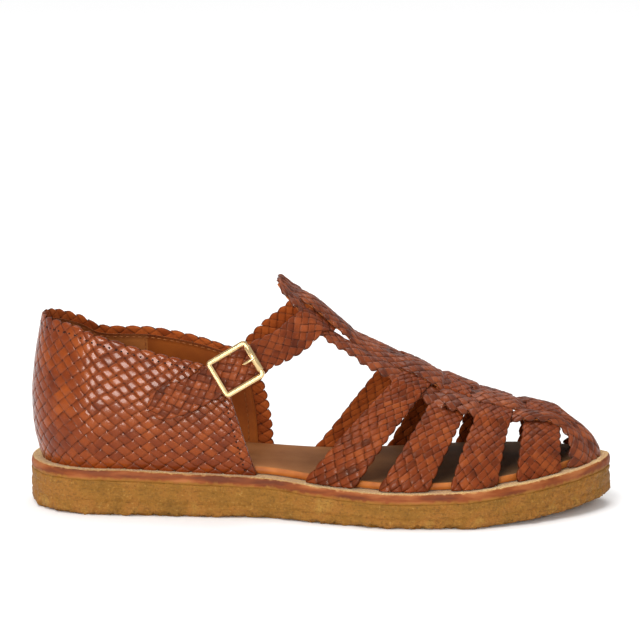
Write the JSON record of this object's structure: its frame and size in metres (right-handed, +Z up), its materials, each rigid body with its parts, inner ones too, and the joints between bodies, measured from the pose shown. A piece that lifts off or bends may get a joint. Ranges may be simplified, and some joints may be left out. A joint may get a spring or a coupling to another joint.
{
  "type": "fisherman sandal",
  "caption": "Plaited leather fisherman sandal with a closed woven heel, a T-bar, cross straps, a buckled ankle strap and a flat crepe rubber sole.",
  "frame": {"origin": "centre of the sole's plan on the floor, under the shoe", "axes": "+X towards the toe, -Y towards the outer side with the buckle, +Z up"},
  "size_m": [0.268, 0.0976, 0.1047],
  "materials": {
    "crepe": "matt honey-coloured natural crepe",
    "band_leather": "matt brown leather with a raw edge",
    "insole_leather": "smooth lining leather",
    "plaited_leather": "polished cognac leather laces",
    "buckle_brass": "polished, pale gold"
  },
  "bodies": {
    "root": {"outsole": "crepe", "midsole": "band_leather", "insole": "insole_leather", "vamp_cage": "plaited_leather", "heel_counter": "plaited_leather", "ankle_strap": "plaited_leather", "buckle_chape": "plaited_leather", "buckle_frame": "buckle_brass", "buckle_roller": "buckle_brass", "buckle_prong": "buckle_brass"}
  },
  "joints": []
}
